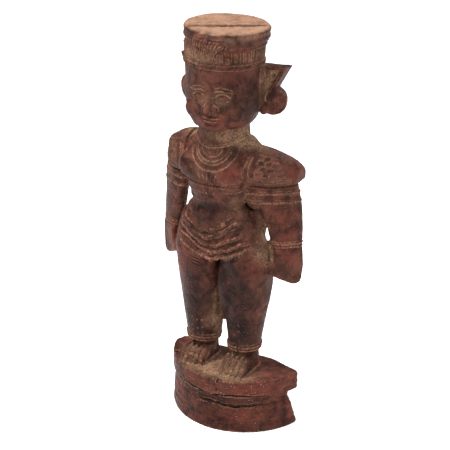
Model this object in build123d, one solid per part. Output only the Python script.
"""Carved ancestor figure: a standing figure on a half-round plinth, hewn from one block of wood.

Each node is one carved zone of the block, a closed solid that meets its neighbours face to face
along a line of the carving. Millimetres, +Z up, -Y the figure's front, +X the figure's left.
The origin is the middle of the plinth's underside.
"""

import os
from dataclasses import dataclass
from math import atan, cos, degrees, hypot, radians, sin

from build123d import *

# Heights of the zones, from the floor up
BLOCK_HEIGHT = 20.0
BAND_HEIGHT = 9.0
PLATE_HEIGHT = 13.0
FOOT_HEIGHT = 16.0
LEG_HEIGHT = 74.0
CLOTH_HEIGHT = 30.0
TORSO_HEIGHT = 57.0
NECK_HEIGHT = 10.0
HEAD_HEIGHT = 42.5
HAIR_HEIGHT = 14.5
CAP_HEIGHT = 12.0

# Plinth: a half-round log, flat at the back; its lower block flares most at the figure's left
PLINTH_LENGTH = 102.0
PLINTH_DEPTH = 49.0
PLINTH_CORNER = 3.0
BLOCK_FLARE = 3.0
BLOCK_LEAN = 1.5
BAND_INSET = 0.8
PLATE_EDGE = 1.2

# The figure stands a little to its right of the plinth's middle, and towards the back
FIGURE_X = -6.0
FIGURE_Y = 5.5

# Feet
FOOT_WIDTH = 20.0
FOOT_LENGTH = 30.0
FOOT_SPACING = 35.0
HEEL_BACK = 10.0
INSTEP_LENGTH = 15.0
TOE_HEIGHT = 5.5
TOE_COUNT = 5
TOE_GAP = 1.2
FOOT_EDGE = 2.0
LEFT_STEP = 2.0

# Legs: ovals whose long axis runs from the inner front to the outer back
ANKLE_WIDTH = 24.0
ANKLE_DEPTH = 22.0
CALF_WIDTH = 29.0
CALF_DEPTH = 26.0
THIGH_WIDTH = 36.5
THIGH_DEPTH = 29.0
LEG_TOP_WIDTH = 38.0
LEG_TOP_DEPTH = 33.0
LEG_TURN = 28.0
LEG_GAP = 1.6
WEB_DEPTH = 9.0
WEB_BACK = 4.0
WEB_SHARE = 0.78

# Waistcloth
CLOTH_COVER = 1.0
CLOTH_TOP_WIDTH = 56.0
CLOTH_TOP_DEPTH = 38.0

# Torso
BELLY_WIDTH = 53.0
BELLY_DEPTH = 35.0
WAIST_WIDTH = 40.0
WAIST_DEPTH = 30.0
SHOULDER_SEAT_WIDTH = 48.0
CHEST_BEYOND_SEAT = 6.0
CHEST_DEPTH = 40.0
COLLAR_WIDTH = 46.0
COLLAR_DEPTH = 35.0

# Shoulder capes and arms: flat slabs that follow the round of the log
LEFT_CAPE_REACH = 31.5
RIGHT_CAPE_REACH = 26.5
CAPE_DROP = 29.0
CAPE_DEPTH = 30.0
ARM_TURN = 39.0
UPPER_ARM_WIDTH = 30.0
UPPER_ARM_DEPTH = 14.0
ELBOW_WIDTH = 28.0
ELBOW_DEPTH = 13.0
WRIST_WIDTH = 20.0
WRIST_DEPTH = 10.5
WRIST_RISE = 9.5
ARM_LEAN = 7.0
SHOULDER_LEAN = 3.5
RIGHT_SHOULDER_IN = 2.5
RIGHT_WRIST_IN = 2.5
LEFT_ARMPIT_WEB = 27.0
RIGHT_ARMPIT_WEB = 15.0
ARMPIT_WEB_DEPTH = 5.0
ARMPIT_WEB_BACK = 6.5
HAND_LENGTH = 28.5
HAND_REACH = 15.5
HAND_DEPTH = 9.0
HAND_SEAT_BITE = 1.5

# Neck, head and hair
NECK_WIDTH = 37.0
NECK_DEPTH = 34.0
JAW_WIDTH = 38.0
JAW_DEPTH = 40.0
CHEEK_WIDTH = 54.0
CHEEK_DEPTH = 50.0
BROW_WIDTH = 55.0
BROW_DEPTH = 50.0
HEAD_LEAN = 1.5

# Ears and their round studs
EAR_SEAT_INSET = 1.5
EAR_ROOT = 9.0
EAR_REACH = 17.0
EAR_HEIGHT = 21.0
EAR_DEPTH = 9.0
EAR_BACK = 12.0
EAR_EDGE = 1.5
STUD_RADIUS = 9.5
STUD_DEPTH = 9.0
STUD_OFFSET = 8.0
STUD_DROP = 6.0

# Flat-topped cap and its front crest
CAP_BOTTOM_WIDTH = 57.0
CAP_BOTTOM_DEPTH = 51.0
CAP_TOP_WIDTH = 61.0
CAP_TOP_DEPTH = 53.0
CAP_EDGE = 1.5
CREST_WIDTH = 26.0
CREST_FOOT_WIDTH = 17.0
CREST_HEIGHT = 23.0
CREST_BELOW_TOP = 2.5
CREST_ACROSS = 3.0
CREST_PROUD = 3.0
CREST_SEAT = 6.0
CREST_CORNER = 4.0
CREST_EDGE = 2.0

# Levels of the faces where zones meet
BAND_LEVEL = BLOCK_HEIGHT
PLATE_LEVEL = BAND_LEVEL + BAND_HEIGHT
SOLE_LEVEL = PLATE_LEVEL + PLATE_HEIGHT
ANKLE_LEVEL = SOLE_LEVEL + FOOT_HEIGHT
HEM_LEVEL = ANKLE_LEVEL + LEG_HEIGHT
BELT_LEVEL = HEM_LEVEL + CLOTH_HEIGHT
THROAT_LEVEL = BELT_LEVEL + TORSO_HEIGHT
JAW_LEVEL = THROAT_LEVEL + NECK_HEIGHT
HAIR_LEVEL = JAW_LEVEL + HEAD_HEIGHT
CAP_LEVEL = HAIR_LEVEL + HAIR_HEIGHT
TOP_LEVEL = CAP_LEVEL + CAP_HEIGHT
CAPE_LEVEL = THROAT_LEVEL - CAPE_DROP
WRIST_LEVEL = HEM_LEVEL + WRIST_RISE
EAR_LEVEL = HAIR_LEVEL - EAR_HEIGHT

SIDES = {"right": -1, "left": 1}
FAR = 500.0


@dataclass
class Oval:
    """One level cut through a zone: its height, its centre, its full width and depth, its turn."""

    level: float
    across: float
    fore: float
    width: float
    depth: float
    turn: float = 0.0

    def face(self):
        place = Pos(self.across, self.fore, self.level) * Rot(0, 0, self.turn)
        return place * Ellipse(self.width / 2, self.depth / 2)


def reach(width, depth, turn):
    """How far an oval turned by that many degrees reaches to each side of its centre."""
    return hypot(width / 2 * cos(radians(turn)), depth / 2 * sin(radians(turn)))


def lofted(*ovals):
    return loft([oval.face() for oval in ovals])


def between(low, high, share):
    return low + (high - low) * share


CHEST_WIDTH = SHOULDER_SEAT_WIDTH + CHEST_BEYOND_SEAT
EAR_SEAT_WIDTH = CHEEK_WIDTH - 2 * EAR_SEAT_INSET
# Half the distance between the legs' centre lines
LEG_OFFSET = LEG_GAP / 2 + reach(LEG_TOP_WIDTH, LEG_TOP_DEPTH, LEG_TURN)
# Where the thigh's outer flank is flattened to carry the hand
HAND_SEAT = LEG_OFFSET + reach(LEG_TOP_WIDTH, LEG_TOP_DEPTH, LEG_TURN) - HAND_SEAT_BITE
ARM_SPREAD = HAND_SEAT + HAND_REACH * cos(radians(ARM_TURN))
SHOULDER_SPREAD = SHOULDER_SEAT_WIDTH / 2 + reach(UPPER_ARM_WIDTH, UPPER_ARM_DEPTH, ARM_TURN) + 4.0


def plinth_outline(inset):
    """The plinth's plan: a long arc in front, a nearly straight back, softened corners."""
    end = PLINTH_LENGTH / 2 - inset
    back = PLINTH_DEPTH / 2 - inset
    front = -back
    left_end = (-end, back - 9)
    right_end = (end, back - 8)
    outline = Curve() + [
        ThreePointArc(left_end, (0, front), right_end),
        Polyline(right_end, (end * 0.5, back), (3 - end, back - 1.5), left_end),
    ]
    plan = make_face(outline)
    return fillet(plan.vertices(), PLINTH_CORNER)


def plinth_block():
    floor_face = plinth_outline(0)
    top_face = Pos(-BLOCK_LEAN, 0, BLOCK_HEIGHT) * plinth_outline(BLOCK_FLARE)
    return loft([floor_face, top_face])


def plinth_band():
    band = extrude(plinth_outline(BLOCK_FLARE + BAND_INSET), BAND_HEIGHT)
    return Pos(-BLOCK_LEAN, 0, BAND_LEVEL) * band


def plinth_plate():
    plate = Pos(0, 0, PLATE_LEVEL) * extrude(plinth_outline(0), PLATE_HEIGHT)
    return fillet(plate.edges().group_by(Axis.Z)[-1], PLATE_EDGE)


def foot(side):
    """A foot in profile, drawn out to its width, with softened edges and grooves between the toes."""
    heel = HEEL_BACK
    toes = heel - FOOT_LENGTH
    instep = heel - INSTEP_LENGTH
    profile = Polyline(
        (heel, 0), (heel, FOOT_HEIGHT), (instep, FOOT_HEIGHT), (toes, TOE_HEIGHT), (toes, 0), (heel, 0)
    )
    blank = extrude(Plane.YZ * make_face(profile), FOOT_WIDTH / 2, both=True)
    front = blank.edges().group_by(Axis.Y)[0]
    blank = fillet(front.filter_by(Axis.Z), FOOT_EDGE)
    toe_pitch = FOOT_WIDTH / TOE_COUNT
    slope = (FOOT_HEIGHT - TOE_HEIGHT) / (FOOT_LENGTH - INSTEP_LENGTH)
    for gap in range(1, TOE_COUNT):
        across = gap * toe_pitch - FOOT_WIDTH / 2
        lean = Rot(degrees(atan(-slope)), 0, 0)
        blank -= Pos(across, toes, TOE_HEIGHT) * lean * Box(TOE_GAP, FOOT_LENGTH * 0.5, TOE_GAP * 2)
    step = LEFT_STEP if side > 0 else 0
    return Pos(side * FOOT_SPACING / 2, -step, SOLE_LEVEL) * blank


def leg(side):
    """A leg that tapers to the ankle, with half of the web left standing between the legs."""
    turn = side * LEG_TURN
    centre = side * LEG_OFFSET
    ankle = side * FOOT_SPACING / 2
    calf = between(ankle, centre, 0.4)
    column = lofted(
        Oval(ANKLE_LEVEL, ankle, 0.5, ANKLE_WIDTH, ANKLE_DEPTH, turn),
        Oval(between(ANKLE_LEVEL, HEM_LEVEL, 0.3), calf, 1.0, CALF_WIDTH, CALF_DEPTH, turn),
        Oval(between(ANKLE_LEVEL, HEM_LEVEL, 0.65), centre, 0.5, THIGH_WIDTH, THIGH_DEPTH, turn),
        Oval(HEM_LEVEL, centre, 0.0, LEG_TOP_WIDTH, LEG_TOP_DEPTH, turn),
    )
    web_height = LEG_HEIGHT * WEB_SHARE
    web = Box(LEG_OFFSET, WEB_DEPTH, web_height)
    column += Pos(centre / 2, WEB_BACK, HEM_LEVEL - web_height / 2) * web
    return column & beside(-side, HAND_SEAT)


def beside(side, edge):
    """Everything on one side of a wall that stands at x = edge, measured from the other side."""
    box = Box(FAR, FAR, FAR)
    return Pos(side * (FAR / 2 - edge), 0, FAR / 2) * box


def waistcloth():
    legs_wide = 2 * (LEG_OFFSET + reach(LEG_TOP_WIDTH, LEG_TOP_DEPTH, LEG_TURN))
    legs_deep = 2 * reach(LEG_TOP_DEPTH, LEG_TOP_WIDTH, LEG_TURN)
    hem_width = legs_wide + CLOTH_COVER
    hem_depth = legs_deep + 2 * CLOTH_COVER
    middle_width = between(hem_width, CLOTH_TOP_WIDTH, 0.4)
    middle_depth = between(hem_depth, CLOTH_TOP_DEPTH, 0.4)
    return lofted(
        Oval(HEM_LEVEL, 0, 0, hem_width, hem_depth),
        Oval(between(HEM_LEVEL, BELT_LEVEL, 0.45), 0, -1.5, middle_width, middle_depth),
        Oval(BELT_LEVEL, 0, -3.0, CLOTH_TOP_WIDTH, CLOTH_TOP_DEPTH),
    )


def torso():
    def level(share):
        return between(BELT_LEVEL, THROAT_LEVEL, share)

    body = lofted(
        Oval(BELT_LEVEL, 0, -3.0, BELLY_WIDTH, BELLY_DEPTH),
        Oval(level(0.21), 0, -5.5, WAIST_WIDTH, WAIST_DEPTH),
        Oval(level(0.64), 0, -3.0, CHEST_WIDTH, CHEST_DEPTH),
        Oval(level(0.88), 0, -1.5, COLLAR_WIDTH, COLLAR_DEPTH),
        Oval(THROAT_LEVEL, 1.0, 0, NECK_WIDTH, NECK_DEPTH),
    )
    seat = SHOULDER_SEAT_WIDTH / 2
    for side in SIDES.values():
        above = Pos(0, 0, CAPE_LEVEL + FAR / 2) * Box(FAR, FAR, FAR)
        body -= beside(side, -seat) & above
        body += armpit_web(side)
        body -= arm(side)
    return body


def armpit_web(side):
    """The wood left standing between the body and the inside of the arm, below the cape."""
    height = LEFT_ARMPIT_WEB if side > 0 else RIGHT_ARMPIT_WEB
    width = shoulder_spread(side)
    place = Pos(side * width / 2, ARMPIT_WEB_BACK, CAPE_LEVEL - height / 2)
    return place * Box(width, ARMPIT_WEB_DEPTH, height)


def shoulder_spread(side):
    """How far the top of the arm stands from the figure's axis: the right one is held closer."""
    return SHOULDER_SPREAD if side > 0 else SHOULDER_SPREAD - RIGHT_SHOULDER_IN


def wrist_spread(side):
    """How far the wrist stands from the figure's axis: the right one is held closer."""
    return ARM_SPREAD if side > 0 else ARM_SPREAD - RIGHT_WRIST_IN


def shoulder_cape(side):
    """The cape over one shoulder: it narrows and sinks outwards, and is flat where the arm starts."""
    seat = SHOULDER_SEAT_WIDTH / 2
    reach_out = LEFT_CAPE_REACH if side > 0 else RIGHT_CAPE_REACH
    stations = [
        # share of the reach, centre fore and aft, share of the depth, share of the drop
        (0.0, 1.0, 1.0, 0.93),
        (0.45, 3.5, 1.0, 0.81),
        (0.8, 8.0, 0.84, 0.6),
        (1.0, 12.0, 0.5, 0.37),
    ]
    sections = []
    for out, fore, depth, rise in stations:
        top = CAPE_LEVEL + CAPE_DROP * rise
        half_height = (top - CAPE_LEVEL) * 0.62
        middle = (side * (seat + reach_out * out), fore, top - half_height)
        wall = Plane(origin=middle, x_dir=(0, 1, 0), z_dir=(side, 0, 0))
        sections.append(wall * Ellipse(CAPE_DEPTH / 2 * depth, half_height))
    return loft(sections) & (Pos(0, 0, CAPE_LEVEL + FAR / 2) * Box(FAR, FAR, FAR))


def arm(side):
    turn = side * ARM_TURN
    wrist = side * wrist_spread(side)
    shoulder = side * shoulder_spread(side)
    elbow = between(wrist, shoulder, 0.45)
    elbow_lean = between(ARM_LEAN, SHOULDER_LEAN, 0.4)
    elbow_level = between(WRIST_LEVEL, CAPE_LEVEL, 0.42)
    return lofted(
        Oval(WRIST_LEVEL, wrist, ARM_LEAN, WRIST_WIDTH, WRIST_DEPTH, turn),
        Oval(elbow_level, elbow, elbow_lean, ELBOW_WIDTH, ELBOW_DEPTH, turn),
        Oval(CAPE_LEVEL, shoulder, SHOULDER_LEAN, UPPER_ARM_WIDTH, UPPER_ARM_DEPTH, turn),
    )


def hand(side):
    """A mitten-like hand in the arm's own plane, its inner edge flat where it rests on the thigh."""
    wrist = WRIST_WIDTH / 2
    inner = -HAND_REACH - HAND_SEAT_BITE
    palm_top = -WRIST_RISE - 0.5
    outline = Polyline(
        (-wrist, 0),
        (wrist, 0),
        (wrist + 0.5, -HAND_LENGTH * 0.5),
        (wrist - 1, -HAND_LENGTH * 0.92),
        (wrist * 0.6, -HAND_LENGTH),
        (wrist * 0.25, -HAND_LENGTH),
        (inner * 0.6, -HAND_LENGTH * 0.76),
        (inner, -HAND_LENGTH * 0.68),
        (inner, palm_top - 3),
        (-wrist, palm_top),
        (-wrist, 0),
    )
    palm = extrude(upright(0) * make_face(outline), HAND_DEPTH / 2, both=True)
    palm = mirrored(palm, side)
    place = Pos(side * wrist_spread(side), ARM_LEAN, WRIST_LEVEL) * Rot(0, 0, side * ARM_TURN)
    return (place * palm & beside(side, -HAND_SEAT)) - waistcloth()


def upright(fore):
    """An upright drawing plane that faces the front: x to the figure's left, y up."""
    return Plane(origin=(0, fore, 0), x_dir=(1, 0, 0), z_dir=(0, -1, 0))


def mirrored(left_shape, side):
    """The left-hand shape as it is, or turned over for the right-hand side."""
    return left_shape if side > 0 else mirror(left_shape, Plane.YZ)


def neck():
    return lofted(
        Oval(THROAT_LEVEL, 1.0, 0, NECK_WIDTH, NECK_DEPTH),
        Oval(JAW_LEVEL, HEAD_LEAN - 0.5, 0, NECK_WIDTH - 1, NECK_DEPTH - 1),
    )


def head():
    return lofted(
        Oval(JAW_LEVEL, HEAD_LEAN - 0.5, -3.0, JAW_WIDTH, JAW_DEPTH),
        Oval(between(JAW_LEVEL, HAIR_LEVEL, 0.15), HEAD_LEAN, -2.0, CHEEK_WIDTH - 6, CHEEK_DEPTH - 4),
        Oval(between(JAW_LEVEL, HAIR_LEVEL, 0.5), HEAD_LEAN, -1.0, CHEEK_WIDTH, CHEEK_DEPTH),
        Oval(HAIR_LEVEL, HEAD_LEAN, -1.0, BROW_WIDTH, BROW_DEPTH),
    )


def ear(side):
    """A flaring ear that grows out of the skull: widest at the top, narrow at the lobe, soft-rimmed."""
    seat = EAR_SEAT_WIDTH / 2
    lobe = EAR_REACH * 0.42
    root = seat - EAR_ROOT
    outline = Polyline(
        (root, 0),
        (seat + lobe, 0),
        (seat + EAR_REACH, EAR_HEIGHT - 5),
        (seat + EAR_REACH, EAR_HEIGHT - 1),
        (root, EAR_HEIGHT - 1),
        (root, 0),
    )
    flange = extrude(upright(EAR_BACK) * make_face(outline), EAR_DEPTH / 2, both=True)
    rim = flange.edges().filter_by(lambda edge: edge.center().X > seat + 1 and edge.center().Z > 1)
    flange = fillet(rim, EAR_EDGE)
    return Pos(HEAD_LEAN, 0, EAR_LEVEL) * mirrored(flange, side) - head()


def ear_stud(side):
    """The thick round stud that hangs from the lobe, its face turned to the front."""
    across = EAR_SEAT_WIDTH / 2 + STUD_OFFSET
    stud = Pos(across, EAR_BACK, -STUD_DROP) * Rot(90, 0, 0) * Cylinder(STUD_RADIUS, STUD_DEPTH)
    stud &= Pos(0, 0, -FAR / 2) * Box(FAR, FAR, FAR)
    return Pos(HEAD_LEAN, 0, EAR_LEVEL) * mirrored(stud, side) - head()


def crest_prism():
    """The crest's outline, wider at the rim than at its foot, drawn out from its seat in the cap."""
    crest_top = TOP_LEVEL - CREST_BELOW_TOP
    crest_foot = crest_top - CREST_HEIGHT
    outline = Polyline(
        (-CREST_WIDTH / 2, crest_top),
        (CREST_WIDTH / 2, crest_top),
        (CREST_FOOT_WIDTH / 2, crest_foot),
        (-CREST_FOOT_WIDTH / 2, crest_foot),
        (-CREST_WIDTH / 2, crest_top),
    )
    plan = make_face(outline)
    plan = fillet(plan.vertices(), CREST_CORNER)
    seat = -CAP_BOTTOM_DEPTH / 2 - 1.0 + CREST_SEAT
    depth = CREST_SEAT + (CAP_TOP_DEPTH - CAP_BOTTOM_DEPTH) / 2 + CREST_PROUD
    return Pos(HEAD_LEAN + CREST_ACROSS, 0, 0) * extrude(upright(seat) * plan, depth)


def cap_crest():
    crest = crest_prism()
    return fillet(crest.edges().group_by(Axis.Y)[0], CREST_EDGE)


def hair_band():
    band = lofted(
        Oval(HAIR_LEVEL, HEAD_LEAN, -1.0, BROW_WIDTH, BROW_DEPTH),
        Oval(CAP_LEVEL, HEAD_LEAN + 0.5, -1.0, CAP_BOTTOM_WIDTH, CAP_BOTTOM_DEPTH),
    )
    return band - crest_prism()


def cap():
    crown = lofted(
        Oval(CAP_LEVEL, HEAD_LEAN + 0.5, -1.0, CAP_BOTTOM_WIDTH, CAP_BOTTOM_DEPTH),
        Oval(TOP_LEVEL, HEAD_LEAN + 1.0, -1.0, CAP_TOP_WIDTH, CAP_TOP_DEPTH),
    )
    crown = chamfer(crown.edges().group_by(Axis.Z)[-1], CAP_EDGE)
    return crown - crest_prism()


def standing(zone):
    """A zone of the figure, moved from the figure's own axis to its place on the plinth."""
    return Pos(FIGURE_X, FIGURE_Y, 0) * zone


def zones():
    made = {
        "plinth_block": plinth_block(),
        "plinth_band": plinth_band(),
        "plinth_plate": plinth_plate(),
        "waistcloth": standing(waistcloth()),
        "torso": standing(torso()),
        "neck": standing(neck()),
        "head": standing(head()),
        "hair_band": standing(hair_band()),
        "cap": standing(cap()),
        "cap_crest": standing(cap_crest()),
    }
    paired = {
        "foot": foot,
        "leg": leg,
        "shoulder_cape": shoulder_cape,
        "arm": arm,
        "hand": hand,
        "ear": ear,
        "ear_stud": ear_stud,
    }
    for name, shape in paired.items():
        for word, side in SIDES.items():
            made[f"{word}_{name}"] = standing(shape(side))
    return made


def main():
    os.makedirs("parts", exist_ok=True)
    for name, shape in zones().items():
        export_step(shape, f"parts/{name}.step")


main()
